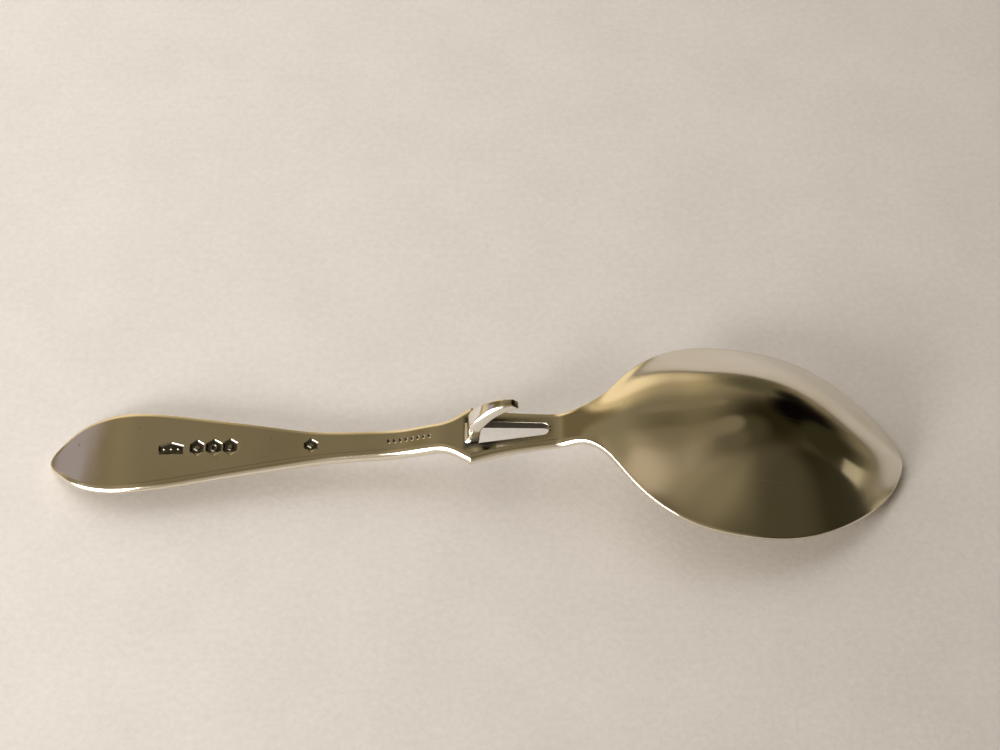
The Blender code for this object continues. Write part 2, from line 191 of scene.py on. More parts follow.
# Points across each section line, as shares from the middle to the edge
HANDLE_SHARES = np.concatenate((
    np.linspace(0, 0.22, 17), np.linspace(0.22, 0.46, 12)[1:],
    [0.52, 0.6, 0.68, 0.76, 0.83, 0.89, 0.94, 0.975, 1.0]))
STEM_SHARES = np.array([0.0, 0.12, 0.24, 0.36, 0.48, 0.6, 0.7, 0.79, 0.87, 0.94, 1.0])
BOWL_SHARES = np.concatenate((np.linspace(0, 0.9, 40), [0.93, 0.96, 0.98, 1.0]))

# The hook's foot lies in the root of the slot, a hair under the flat, and bends up over this radius
# to where its arch starts. The middle line of the arch is given as (x, z)
HOOK_FOOT = -4.4
HOOK_PROUD = -0.03
HOOK_BEND = 1.95
HOOK_BEND_POINTS = 7
HOOK_ROOT = -0.38
HOOK_LINE = ((-0.28, 13.35), (0.07, 14.65), (0.92, 15.95), (1.92, 17.1), (3.2, 18.13),
             (4.75, 18.92), (6.6, 19.42))

# Half widths and half thicknesses as (share of the hook's free length, size). Just below that
# length it flares by this much a side. HOOK_STATIONS is how many sections are drawn along it
HOOK_HALF_WIDTH = ((0.0, 1.95), (0.2, 1.88), (0.5, 1.5), (0.8, 1.02), (1.0, 0.72))
HOOK_HALF_THICKNESS = ((0.0, 1.05), (0.3, 1.05), (0.6, 0.98), (0.86, 0.86), (1.0, 0.6))
HOOK_FLARE = 0.4
HOOK_FLARE_FADE = (2.0, 0.2)
HOOK_STATIONS = 130
HOOK_STEP = 0.05

# Its corners, each at most a share of the half thickness, and its slanted end
HOOK_OUTER_CORNER = 0.8
HOOK_OUTER_LIMIT = 0.75
HOOK_OUTER_POINTS = 10
HOOK_INNER_CORNER = 0.3
HOOK_INNER_LIMIT = 0.45
HOOK_INNER_POINTS = 6
HOOK_CORNER_SHRINK = 0.5
HOOK_END_ROUND = 0.2
HOOK_END_POINTS = 6
HOOK_END_SLANT = 0.75
HOOK_SLANT_REACH = (2.6, 0.3)

# Distances under which two points are one, a point lies on the middle or is moved onto it, and a
# normal counts as missing
MERGE = 0.0004
ON_MIDDLE = 0.000001
MIDDLE_SNAP = 0.00001
NO_LENGTH = 0.000000001

# How far from a cut its border is looked for, over what length the crown's slope is taken, and the
# least half width that heights are shared out over
CUT_REACH = 0.5
SLOPE_STEP = 0.01
LEAST_REACH = 0.1


def smooth_curve(points, start_slope=None, end_slope=None):
    """A cubic spline through (place, value) points, free at its ends or with slopes given there."""
    knots = np.array([p[0] for p in points], dtype=float)
    values = np.array([p[1] for p in points], dtype=float)
    last = len(knots) - 1
    spans = np.diff(knots)
    steps = np.diff(values) / spans
    matrix = np.zeros((last + 1, last + 1))
    right = np.zeros(last + 1)
    for i in range(1, last):
        matrix[i, i - 1:i + 2] = spans[i], 2 * (spans[i - 1] + spans[i]), spans[i - 1]
        right[i] = 3 * (spans[i] * steps[i - 1] + spans[i - 1] * steps[i])
    for end, inner, chord, slope in ((0, 1, steps[0], start_slope),
                                     (last, last - 1, steps[-1], end_slope)):
        matrix[end, end] = 2 if slope is None else 1
        matrix[end, inner] = 1 if slope is None else 0
        right[end] = 3 * chord if slope is None else slope
    slopes = np.linalg.solve(matrix, right)

    def value(at):
        at = np.asarray(at, dtype=float)
        i = np.clip(np.searchsorted(knots, at) - 1, 0, last - 1)
        t = (at - knots[i]) / spans[i]
        return ((1 + 2 * t) * (1 - t) ** 2 * values[i] + t * (1 - t) ** 2 * spans[i] * slopes[i]
                + t * t * (3 - 2 * t) * values[i + 1] - t * t * (1 - t) * spans[i] * slopes[i + 1])
    return value


def chord_knots(path, power):
    """Running length of a path, each step raised to a power that eases tight turns."""
    steps = np.hypot(*np.diff(path, axis=0).T) ** power
    return np.concatenate(([0.0], np.cumsum(steps)))


def plan_line(points):
    """A dense smooth line through plan points, which crosses the middle squarely at its tip."""
    mirrored = [(x, -y) for x, y in points[3:0:-1]]
    path = np.array(mirrored + points)
    knots = chord_knots(path, 0.5)
    t = np.linspace(knots[len(mirrored)], knots[-1], PLAN_SAMPLES)
    return np.column_stack((smooth_curve(list(zip(knots, path[:, 0])))(t),
                            smooth_curve(list(zip(knots, path[:, 1])))(t)))


OUTLINE = np.vstack((plan_line(HANDLE_OUTLINE), plan_line(BOWL_OUTLINE)[-2::-1]))
OUTLINE_RUN = chord_knots(OUTLINE, 1.0)
SHOULDER_RUN = OUTLINE_RUN[PLAN_SAMPLES - 1]
BEFORE_FLAT = smooth_curve(RISE_TO_FLAT, end_slope=FLAT_SLOPE)
AFTER_FLAT = smooth_curve(FALL_FROM_FLAT, start_slope=FLAT_SLOPE)
CROWN = smooth_curve(DOME, start_slope=0.0)
THICKNESS = smooth_curve(list(zip(STRETCHES, METAL_THICKNESS)), 0.0, 0.0)
ROUND = smooth_curve(list(zip(STRETCHES, EDGE_ROUND)), 0.0, 0.0)


def flat_height(x):
    return FLAT_START_HEIGHT + (x - FLAT_START) * FLAT_SLOPE


def edge_height(x):
    return np.where(x < FLAT_START, BEFORE_FLAT(x),
                    np.where(x > FLAT_END, AFTER_FLAT(x), flat_height(x)))


def dome_height(x):
    return np.where(x > FLAT_END, CROWN(x), 0.0)


def fullness(x):
    """How much fuller than a parabola the section is at x."""
    return DOME_FULLNESS + NECK_FULLNESS * (1 - step(x, BOWL_START, BOWL_START + NECK_FADE))


def slot_half(x):
    """Half the slot's width at x."""
    return SLOT_ROOT_HALF + (SLOT_TIP_HALF - SLOT_ROOT_HALF) * (
        (x - SLOT_START) / (SLOT_END - SLOT_TIP_HALF - SLOT_START))


def outline_at(run):
    return np.column_stack([np.interp(run, OUTLINE_RUN, OUTLINE[:, k]) for k in (0, 1)])


def run_at(x):
    """Run along the outline where it passes x."""
    return np.interp(x, OUTLINE[:, 0], OUTLINE_RUN)


def step(value, low, high):
    """From none (0) to full (1) between two values, smoothly."""
    t = np.clip((value - low) / (high - low), 0, 1)
    return t * t * (3 - 2 * t)


def near_join(run):
    """One where two pieces meet, falling to nothing a few millimetres away."""
    return sum(1 - step(np.abs(run - run_at(join)), *JOIN_SQUARE)
               for join in (STEM_START, BOWL_START))


def worn_share(run):
    """How much of the worn fall there is: none at the handle's tip and where the bowl begins."""
    x = outline_at(run)[:, 0]
    return step(run, *WORN_START) * (1 - step(x, BOWL_START - WORN_END, BOWL_START))


def outward_at(run):
    """The outline's outward direction in plan, eased round the shoulder's corner."""
    ease = LINE_EASE + SHOULDER_EASE * np.exp(-((run - SHOULDER_RUN) / SHOULDER_REACH) ** 2)
    total = np.zeros((len(run), 2))
    for share in np.linspace(-1, 1, EASE_SAMPLES):
        at = np.clip(run + share * ease, PLAN_STEP, OUTLINE_RUN[-1] - PLAN_STEP)
        along = outline_at(at + PLAN_STEP) - outline_at(at - PLAN_STEP)
        along /= np.linalg.norm(along, axis=1)[:, None]
        total += np.column_stack((-along[:, 1], along[:, 0]))
    total[run <= 0.0] = (-1.0, 0.0)
    total[run >= OUTLINE_RUN[-1]] = (1.0, 0.0)
    total /= np.linalg.norm(total, axis=1)[:, None]
    square = near_join(run)[:, None]
    total = total * (1 - square) + square * np.array((0.0, 1.0))
    return total / np.linalg.norm(total, axis=1)[:, None]


def spaced(pieces):
    """Places that run through the (start, end, spacing) pieces, with each join kept once."""
    places = [pieces[0][0]]
    for start, end, spacing in pieces:
        count = max(2, round((end - start) / spacing) + 1)
        places += list(np.linspace(start, end, count)[1:])
    return np.array(places)


def eased_run(start, end, end_slope, count):
    """Places from start to end that set off slowly and end at a slope, as a Hermite curve."""
    w = np.linspace(0, 1, count)
    return ((1 + 2 * w) * (1 - w) ** 2 * start
            + w * w * (3 - 2 * w) * end - w * w * (1 - w) * end_slope)


def across_from(run):
    """Where the section line through each run crosses the middle of the spoon."""
    rim = outline_at(run) - outward_at(run) * ROUND(outline_at(run)[:, 0])[:, None]
    return rim[:, 0]


def fan(length, depth, count, at_handle):
    """Plan lines that fan round a tip: runs along the outline, and their inner places."""
    total = OUTLINE_RUN[-1]
    share = np.linspace(0, 1, count)
    run = share * length if at_handle else total - share * length
    ahead = FAN_STEP if at_handle else -FAN_STEP
    inner_end, further = across_from(run[-1] + np.array((0.0, ahead)))
    slope = (further - inner_end) / FAN_STEP * length
    tip = HANDLE_TIP + depth if at_handle else BOWL_TIP - depth
    inner = eased_run(tip, inner_end, slope, count)
    if at_handle:
        return run, inner
    return run[::-1], inner[::-1]


def slot_lines():
    """Plan lines round the slot: runs along the outline, and points on the slot's edge."""
    half = slot_half(SLOT_OPEN_START)
    centre = SLOT_END - SLOT_TIP_HALF
    corner = [(SLOT_OPEN_START + SLOT_CORNER * (1 - math.cos(a)),
               half - SLOT_CORNER * (1 - math.sin(a)))
              for a in np.linspace(0, math.pi / 2, SLOT_CORNER_POINTS)]
    round_end = [(centre + SLOT_TIP_HALF * math.sin(a), SLOT_TIP_HALF * math.cos(a))
                 for a in np.linspace(0, math.pi / 2, SLOT_END_POINTS)]
    turn = SLOT_CORNER_POINTS // 2
    paths = [[(SLOT_OUTER[0], 0.0), (SLOT_OPEN_START, 0.0)],
             [(SLOT_OPEN_START, 0.0)] + corner[:turn],
             corner[turn - 1:] + round_end[:1],
             round_end,
             [(SLOT_END, 0.0), (SLOT_OUTER[-1], 0.0)]]
    run = []
    inner = []
    for i, path in enumerate(paths):
        path = np.array(path)
        length = chord_knots(path, 1.0)
        count = SLOT_COUNTS[i] + 1
        places = np.linspace(0, length[-1], count)
        outer = np.linspace(run_at(SLOT_OUTER[i]), run_at(SLOT_OUTER[i + 1]), count)
        skip = 1 if i else 0
        run += list(outer[skip:])
        inner += [(np.interp(p, length, path[:, 0]), np.interp(p, length, path[:, 1]))
                  for p in places[skip:]]
    return np.array(run), np.array(inner)


def bowl_heights(inner_x, rim_x, s):
    """Heights over the bowl's lines, which keep the crown's slope towards the tip."""
    crown = edge_height(inner_x) + dome_height(inner_x)
    ahead = edge_height(inner_x + SLOPE_STEP) + dome_height(inner_x + SLOPE_STEP)
    carried = ((ahead - crown) / SLOPE_STEP * (rim_x - inner_x))[:, None]
    full = fullness(inner_x)[:, None]
    fall = (1 - full) * s ** 2 + full * s ** 4
    return crown[:, None] + carried * s + (
        edge_height(rim_x)[:, None] - crown[:, None] - carried) * fall


def back_grid(run, inner, shares, kind):
    """Points on the back from the inner line to where the edge starts to turn, their normals,
    and the outline's outward direction."""
    rim = outline_at(run)
    outward = outward_at(run)
    bulge = ROUND(rim[:, 0])
    reach = rim - outward * bulge[:, None]
    across = (reach - inner)[:, None, :]
    plan = inner[:, None, :] + across * shares[None, :, None]
    if kind != "bowl":
        worn = WORN_WIDTH / np.linalg.norm(across, axis=2)[..., None]
        plan = plan - across * shares[None, :, None] * worn
        plan = np.concatenate([plan] + [reach[:, None, :] - across * worn * part
                                        for part, _ in WORN_ROWS], axis=1)
    x = plan[..., 0]
    if kind == "bowl":
        z = bowl_heights(inner[:, 0], reach[:, 0], np.broadcast_to(shares, x.shape))
    else:
        s = np.clip(plan[..., 1] / np.maximum(reach[:, 1], LEAST_REACH)[:, None], 0, 1)
        full = fullness(inner[:, 0])[:, None]
        shape = 1 - (1 - full) * s ** 2 - full * s ** 4
        z = edge_height(x) + dome_height(x) * shape
    back = np.dstack((x, plan[..., 1], z))
    normal = np.cross(np.gradient(back, axis=0), np.gradient(back, axis=1))
    normal *= np.sign(normal[..., 2:3])
    on_middle = np.abs(back[..., 1]) < ON_MIDDLE
    normal[..., 1][on_middle] = 0.0
    for corner, beside in ((0, 1), (-1, -2)):
        if np.linalg.norm(normal[corner, 0]) < NO_LENGTH:
            normal[corner, 0] = normal[beside, 0]
    normal /= np.linalg.norm(normal, axis=2)[..., None]
    return back, normal, outward, bulge


def half_sections(run, inner, shares, kind, dent=None):
    """Rows of points over the back, round the edge and along the front of half the spoon."""
    back, normal, outward, bulge = back_grid(run, inner, shares, kind)
    upright = normal * (0.0, 1.0, 1.0)
    upright /= np.sum(upright ** 2, axis=2)[..., None]
    square = near_join(run)[:, None, None]
    through = normal * (1 - square) + upright * square
    front = back - through * THICKNESS(back[..., 0])[..., None]
    if kind != "bowl":
        falls = np.array([0.0] * len(shares) + [fall for _, fall in WORN_ROWS])
        back = back - ((0.0, 0.0, WORN_FALL) * falls[None, :, None]
                       * worn_share(run)[:, None, None])
    half = (back[:, -1] - front[:, -1]) / 2
    out = np.column_stack((outward, np.zeros(len(run))))
    out -= half * (np.sum(out * half, axis=1) / np.sum(half * half, axis=1))[:, None]
    out /= np.linalg.norm(out, axis=1)[:, None]
    middle = (back[:, -1] + front[:, -1]) / 2
    arc = []
    for k in range(1, EDGE_STEPS):
        turn = math.pi * k / EDGE_STEPS
        down = math.copysign(abs(math.cos(turn)) ** EDGE_BEVEL, math.cos(turn))
        arc.append(middle + half * down + out * (math.sin(turn) ** EDGE_BEVEL * bulge)[:, None])
    arc = np.stack(arc, axis=1)
    if dent is not None:
        back = back - normal * dent(back[..., 0], back[..., 1])[..., None]
    return np.concatenate((back, arc, front[:, ::-1]), axis=1)


def wrapped_sheet(rows):
    """A bmesh grid laid over rows of points, which are given in millimetres."""
    tall, wide = rows.shape[:2]
    mesh = bmesh.new()
    bmesh.ops.create_grid(mesh, x_segments=wide - 1, y_segments=tall - 1, size=1.0)
    for vertex in mesh.verts:
        column = round((vertex.co.x + 1) / 2 * (wide - 1))
        row = round((vertex.co.y + 1) / 2 * (tall - 1))
        vertex.co = Vector(rows[row, column] * MM)
    return mesh


def both_halves(mesh):
    """Mirrors half a piece onto the other side and joins the two along the middle."""
    for vertex in mesh.verts:
        if abs(vertex.co.y) < MIDDLE_SNAP * MM:
            vertex.co.y = 0.0
    bmesh.ops.mirror(mesh, geom=mesh.verts[:] + mesh.edges[:] + mesh.faces[:],
                     matrix=Matrix.Identity(4), merge_dist=MERGE * MM, axis="Y")
    bmesh.ops.remove_doubles(mesh, verts=mesh.verts, dist=MERGE * MM)


def close_ends(mesh, places):
    """Caps the open ends at these places along X, with crisp borders."""
    for place in places:
        border = [e for e in mesh.edges if e.is_boundary
                  and all(abs(v.co.x - place * MM) < CUT_REACH * MM for v in e.verts)]
        bmesh.ops.holes_fill(mesh, edges=border, sides=0)
        for edge in border:
            edge.smooth = False


def as_piece(name, mesh, node, material, dark_tarnish_and_painted_shade=None):
    bmesh.ops.recalc_face_normals(mesh, faces=mesh.faces)
    for face in mesh.faces:
        face.smooth = True
    data = bpy.data.meshes.new(name)
    mesh.to_mesh(data)
    mesh.free()
    # The point attribute carries dark tarnish, and on the stem painted shade round the slot as well
    if dark_tarnish_and_painted_shade:
        places = np.empty(3 * len(data.vertices))
        data.vertices.foreach_get("co", places)
        shade = data.attributes.new("dark_tarnish_and_painted_shade", "FLOAT", "POINT")
        shade.data.foreach_set("value", dark_tarnish_and_painted_shade(*(places.reshape(-1, 3) / MM).T).astype(np.float32))
    data.materials.append(material)
    piece = bpy.data.objects.new(name, data)
    bpy.context.scene.collection.objects.link(piece)
    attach(piece, "root")
    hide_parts(node)
    return piece


def middle_points(x):
    return np.column_stack((x, np.zeros(len(x))))


def body_lines(fan_run, places):
    """Runs and inner places of the straight lines that carry on from a fan."""
    run = run_at(places)
    at_handle = fan_run[0] == 0.0
    keep = run > fan_run[-1] + FAN_GAP if at_handle else run < fan_run[0] - FAN_GAP
    return run[keep], across_from(run[keep])


# Punched marks as (x, y, half length, half height, gable, relief): plain pentagons
MARKS = (
    (-51.65, -0.2, 2.15, 1.1, 0.35, "pellets"),
    (-47.26, 0.05, 1.22, 1.1, 0.45, "lozenge"),
    (-44.37, 0.1, 1.4, 1.1, 0.45, "ring"),
    (-41.6, 0.12, 1.28, 1.1, 0.45, "pellet"),
    (-27.9, 0.0, 1.2, 0.9, 0.45, "lozenge"),
)
MARK_DEPTH = 0.26
MARK_WALL = 0.24

# The raised figures in their floors: where each one's flank starts and ends
RELIEF_SHARE = 0.7
PELLET_PLACES = (-1.2, 0.0, 1.2)
SMALL_PELLET = (0.22, 0.45)
PELLET = (0.3, 0.55)
RING_RADIUS = 0.48
RING = (0.05, 0.22)
LOZENGE_HALF = (0.75, 0.55)
LOZENGE = (0.65, 1.15)

# A row of plain dots as (x, y, pitch, count)
DOT_ROW = (-14.7, 0.1, 0.98, 8)
DOT_DEPTH = 0.11
DOT_SQUASH = 0.75
DOT = (0.08, 0.33)

# Where dark tarnish starts and ends: with the depth of a mark, and, for the tarnish and painted
# shade round the slot, away from the slot, along its rails and down its walls
MARK_GRIME = (0.02, 0.13)
MARK_GRIME_REACH = 0.8
SLOT_TARNISH_SHADE_START = 0.2
RAIL_TARNISH_SHADE = (0.45, 1.3)
RAIL_FADE = (2.0, 12.5)
RAIL_FADE_SHARE = 0.85
WALL_TARNISH_SHADE = (0.04, 0.2)
WALL_DROP = (0.02, 0.1)
WALL_STRENGTH = 1.2


def mark_relief(kind, dx, dy):
    """The small raised figure in a mark's floor, from none (0) to full (1)."""
    if kind == "pellets":
        return np.maximum.reduce([1 - step(np.hypot(dx - shift, dy), *SMALL_PELLET)
                                  for shift in PELLET_PLACES])
    if kind == "pellet":
        return 1 - step(np.hypot(dx, dy), *PELLET)
    if kind == "ring":
        return 1 - step(np.abs(np.hypot(dx, dy) - RING_RADIUS), *RING)
    return 1 - step(np.abs(dx) / LOZENGE_HALF[0] + np.abs(dy) / LOZENGE_HALF[1], *LOZENGE)


def mark_depth(x, y):
    """How deep the marks and dots press the back of the handle in at (x, y)."""
    depth = np.zeros_like(x)
    for cx, cy, half_long, half_high, gable, relief in MARKS:
        dx = x - cx
        dy = y - cy
        top = half_high + gable * (1 - 2 * np.abs(dx) / half_long)
        inside = np.minimum.reduce([half_long - np.abs(dx), top - dy, half_high + dy])
        floor = MARK_DEPTH * step(inside, 0.0, MARK_WALL)
        depth = np.maximum(depth, floor * (1 - RELIEF_SHARE * mark_relief(relief, dx, dy)))
    start, height, pitch, count = DOT_ROW
    for i in range(count):
        far = np.hypot(x - start - pitch * i, (y - height) * DOT_SQUASH)
        depth = np.maximum(depth, DOT_DEPTH * (1 - step(far, *DOT)))
    return depth


def mark_grime(x, y, z):
    """Dark tarnish that stays in the floors of the marks."""
    on_back = z > edge_height(x) - MARK_GRIME_REACH
    return on_back * step(mark_depth(x, y), *MARK_GRIME)


def slot_tarnish_painted_shade(x, y, z):
    """Dark tarnish on the slot's walls and on the rails beside it, with painted shade there for the
    dark that the walls and rails reflect, fading towards the bowl.
    """
    past_end = np.maximum(x - (SLOT_END - SLOT_TIP_HALF), 0.0)
    beside = np.hypot(past_end, np.abs(y)) - np.where(past_end > 0, SLOT_TIP_HALF, slot_half(x))
    away = np.maximum(beside, np.maximum(SLOT_OPEN_START - SLOT_TARNISH_SHADE_START - x, 0.0))
    rail = (1 - step(away, *RAIL_TARNISH_SHADE)) * (1 - RAIL_FADE_SHARE * step(x, *RAIL_FADE))
    wall = (1 - step(away, *WALL_TARNISH_SHADE)) * step(flat_height(x) - z, *WALL_DROP)
    return np.maximum(rail, WALL_STRENGTH * wall)


def make_handle(material):
    fan_run, fan_inner = fan(*HANDLE_FAN, True)
    body_run, body_inner = body_lines(fan_run, spaced(HANDLE_LINES))
    run = np.concatenate((fan_run, body_run))
    inner = middle_points(np.concatenate((fan_inner, body_inner)))
    mesh = wrapped_sheet(half_sections(run, inner, HANDLE_SHARES, "handle", mark_depth))
    both_halves(mesh)
    close_ends(mesh, [STEM_START])
    return as_piece("handle_silverwork", mesh, "handle", material, mark_grime)


def make_stem(material):
    slot_run, slot_inner = slot_lines()
    before = spaced(STEM_LINES_BEFORE)[:-1]
    after = spaced(STEM_LINES_AFTER)[1:]
    run = np.concatenate((run_at(before), slot_run, run_at(after)))
    inner = np.vstack((middle_points(across_from(run_at(before))), slot_inner,
                       middle_points(across_from(run_at(after)))))
    mesh = wrapped_sheet(half_sections(run, inner, STEM_SHARES, "stem"))
    both_halves(mesh)
    low = (SLOT_OPEN_START - CUT_REACH) * MM
    high = (SLOT_END + CUT_REACH) * MM
    lip = [e for e in mesh.edges if e.is_boundary and all(low < v.co.x < high for v in e.verts)]
    bmesh.ops.bridge_loops(mesh, edges=lip)
    bmesh.ops.recalc_face_normals(mesh, faces=mesh.faces)
    bmesh.ops.bevel(mesh, geom=lip, offset=SLOT_EASE * MM, offset_type="OFFSET", segments=4,
                    profile=0.5, affect="EDGES", material=-1)
    close_ends(mesh, [STEM_START, BOWL_START])
    return as_piece("stem_silverwork", mesh, "slotted_stem", material, slot_tarnish_painted_shade)


def make_bowl(material):
    fan_run, fan_inner = fan(*BOWL_FAN, False)
    body_run, body_inner = body_lines(fan_run, spaced(BOWL_LINES))
    run = np.concatenate((body_run, fan_run))
    inner = middle_points(np.concatenate((body_inner, fan_inner)))
    mesh = wrapped_sheet(half_sections(run, inner, BOWL_SHARES, "bowl"))
    both_halves(mesh)
    close_ends(mesh, [BOWL_START])
    return as_piece("bowl_silverwork", mesh, "bowl", material)


def hook_line():
    """The tongue's middle line, from inside the stem to its tip, and where it leaves the stem."""
    half = HOOK_HALF_THICKNESS[0][1]
    lean = math.atan(FLAT_SLOPE)
    centre = Vector((HOOK_ROOT - HOOK_BEND,
                     flat_height(HOOK_ROOT - HOOK_BEND) + HOOK_PROUD - half + HOOK_BEND))
    points = [(HOOK_FOOT, flat_height(HOOK_FOOT) + HOOK_PROUD - half)]
    for turn in np.linspace(lean, math.pi / 2, HOOK_BEND_POINTS):
        points.append((centre.x + HOOK_BEND * math.sin(turn),
                       centre.y - HOOK_BEND * math.cos(turn)))
    path = np.array(points + list(HOOK_LINE))
    knots = chord_knots(path, 1.0)
    return (smooth_curve(list(zip(knots, path[:, 0])), start_slope=math.cos(lean)),
            smooth_curve(list(zip(knots, path[:, 1])), start_slope=math.sin(lean)),
            knots[-1], knots[HOOK_BEND_POINTS])


def tongue_section(half_wide, half_thick, outer, inner):
    """Points round the tongue as (across, out), fuller rounded on its outer side."""
    points = []
    for quarter, (sx, sy) in enumerate(((1, 1), (-1, 1), (-1, -1), (1, -1))):
        corner, count = (outer, HOOK_OUTER_POINTS) if sy > 0 else (inner, HOOK_INNER_POINTS)
        for a in np.linspace(0, math.pi / 2, count):
            turn = a + quarter * math.pi / 2
            points.append((sx * (half_wide - corner) + corner * math.cos(turn),
                           sy * (half_thick - corner) + corner * math.sin(turn)))
    return np.array(points)


def make_hook(material):
    along, up, length, foot = hook_line()
    width = smooth_curve(HOOK_HALF_WIDTH)
    thick = smooth_curve(HOOK_HALF_THICKNESS)
    places = list(np.linspace(0, length - HOOK_END_ROUND, HOOK_STATIONS))
    places += [length - HOOK_END_ROUND * (1 - math.sin(a))
               for a in np.linspace(0, math.pi / 2, HOOK_END_POINTS)[1:]]
    flare_start, flare_end = (foot - back for back in HOOK_FLARE_FADE)
    slant_start, slant_end = (length - back for back in HOOK_SLANT_REACH)
    rows = []
    for at in places:
        ahead, behind = at + HOOK_STEP, at - HOOK_STEP
        heading = np.array([along(ahead) - along(behind), up(ahead) - up(behind)])
        heading /= np.linalg.norm(heading)
        share = max(at - foot, 0.0) / (length - foot)
        shrink = HOOK_END_ROUND - math.sqrt(HOOK_END_ROUND ** 2 - min(
            max(at - length + HOOK_END_ROUND, 0.0), HOOK_END_ROUND) ** 2)
        flare = HOOK_FLARE * (1 - float(step(at, flare_start, flare_end)))
        half_wide = float(width(share)) + flare - shrink
        half_thick = float(thick(share)) - shrink
        outer = min(HOOK_OUTER_CORNER, HOOK_OUTER_LIMIT * half_thick)
        inner = min(HOOK_INNER_CORNER, HOOK_INNER_LIMIT * half_thick)
        ring = tongue_section(half_wide, half_thick, outer - HOOK_CORNER_SHRINK * shrink,
                              inner - HOOK_CORNER_SHRINK * shrink)
        slant = HOOK_END_SLANT * float(step(at, slant_start, slant_end))
        rows.append([(float(along(at)) - heading[1] * b - heading[0] * b * slant, a,
                      float(up(at)) + heading[0] * b - heading[1] * b * slant)
                     for a, b in np.vstack((ring, ring[:1]))])
    mesh = wrapped_sheet(np.array(rows))
    bmesh.ops.remove_doubles(mesh, verts=mesh.verts, dist=MERGE * MM)
    bmesh.ops.holes_fill(mesh, edges=[e for e in mesh.edges if e.is_boundary], sides=0)
    return as_piece("hook_silverwork", mesh, "jar_hook", material)


def add(tree, kind, place, **settings):
    node = tree.nodes.new(kind)
    node.location = place
    for name, value in settings.items():
        setattr(node, name, value)
    return node


def ramp(tree, place, source, stops):
    """A colour ramp of (position, grey or colour) stops on a source."""
    node = add(tree, "ShaderNodeValToRGB", place)
    tree.links.new(source, node.inputs["Fac"])
    elements = node.color_ramp.elements
    while len(elements) < len(stops):
        elements.new(0.5)
    for element, (position, value) in zip(elements, stops):
        element.position = position
        element.color = (value, value, value, 1) if isinstance(value, (int, float)) else (
            *value, 1)
    return node.outputs["Color"]


def blended(tree, place, share, first, second):
    node = add(tree, "ShaderNodeMix", place, data_type="RGBA")
    for socket, value in ((node.inputs["Factor"], share), (node.inputs["A"], first),
                          (node.inputs["B"], second)):
        if isinstance(value, (int, float)):
            socket.default_value = value
        elif isinstance(value, tuple):
            socket.default_value = (*value, 1)
        else:
            tree.links.new(value, socket)
    return node.outputs["Result"]


def reckon(tree, place, operation, first, second=None, third=None):
    node = add(tree, "ShaderNodeMath", place, operation=operation)
    for socket, value in zip(node.inputs, (first, second, third)):
        if value is None:
            continue
        if isinstance(value, (int, float)):
            socket.default_value = value
        else:
            tree.links.new(value, socket)
    return node.outputs[0]


def noise(tree, place, vector, scale, detail=3.0, roughness=0.55):
    node = add(tree, "ShaderNodeTexNoise", place)
    node.inputs["Scale"].default_value = scale
    node.inputs["Detail"].default_value = detail
    node.inputs["Roughness"].default_value = roughness
    tree.links.new(vector, node.inputs["Vector"])
    return node.outputs["Fac"]


def turned(tree, place, vector, turn, scale, shift=(0.0, 0.0, 0.0)):
    node = add(tree, "ShaderNodeMapping", place)
    node.inputs["Location"].default_value = shift
    node.inputs["Rotation"].default_value = (0.0, 0.0, math.radians(turn))
    node.inputs["Scale"].default_value = scale
    tree.links.new(vector, node.inputs["Vector"])
    return node.outputs["Vector"]


def rise(tree, place, height, shader, strength, distance):
    """Bump on a shader from a height, over a distance in metres."""
    bump = add(tree, "ShaderNodeBump", place)
    bump.inputs["Strength"].default_value = strength
    bump.inputs["Distance"].default_value = distance
    tree.links.new(height, bump.inputs["Height"])
    tree.links.new(bump.outputs["Normal"], shader.inputs["Normal"])


# Dark tone for tarnish in the marks and for the painted shade on the slot's walls and rails
TARNISH_SHADE_TONE = (0.075, 0.065, 0.05)
SPECK_TONE = (0.16, 0.12, 0.07)
SPECK_STRENGTH = 0.55

# Patterns on the silver as (scale in turns a metre, detail, roughness), then where each one starts
# and ends as (pattern's value, share)
PATCHES = (90.0, 4.0)
BLOOM = (240.0, 5.0, 0.65)
SPECK_SCALE = 420.0
SPECK_SPREAD = (160.0, 2.0)
SCRATCHES = (1.0, 2.0)
SCRATCH_SPREAD = (130.0, 1.0)
SKIN = (700.0, 3.0)
SWELL = (120.0, 2.0)
PATCH_STOPS = [(0.38, 0.0), (0.72, 1.0)]
SPECK_STOPS = [(0.05, 1.0), (0.13, 0.0)]
SPECK_SPREAD_STOPS = [(0.56, 0.0), (0.66, 1.0)]
SCRATCH_STOPS = [(0.69, 0.0), (0.76, 1.0)]
SCRATCH_SPREAD_STOPS = [(0.48, 0.0), (0.6, 1.0)]

# Dark tarnish, and the painted shade round the slot, is mottled by the bloom: its share, and what
# is there without it
TARNISH_SHADE_MOTTLE = (0.5, 0.7)

# Hairline scratches: the ways they lie in degrees, and how drawn out they are. The turn, in degrees
# too, keeps the patterns from lying square to the spoon
SCRATCH_TURNS = (8, -24, 52, 97)
SCRATCH_STRETCH = (22, 2600, 22)
PATTERN_TURN = 3

# How much each adds to the roughness
PATCH_ROUGH = 0.05
BLOOM_ROUGH = 0.07
SCRATCH_ROUGH = 0.16
SPECK_ROUGH = 0.25
TARNISH_SHADE_ROUGH = 0.3

# How far each stands up or lies in, in shares of the bump's distance in metres
SKIN_HEIGHT = 0.06
SWELL_HEIGHT = 0.5
SCRATCH_HEIGHT = -0.35
SPECK_HEIGHT = -0.5
SILVER_BUMP = 0.00003
SILVER_BUMP_STRENGTH = 0.5


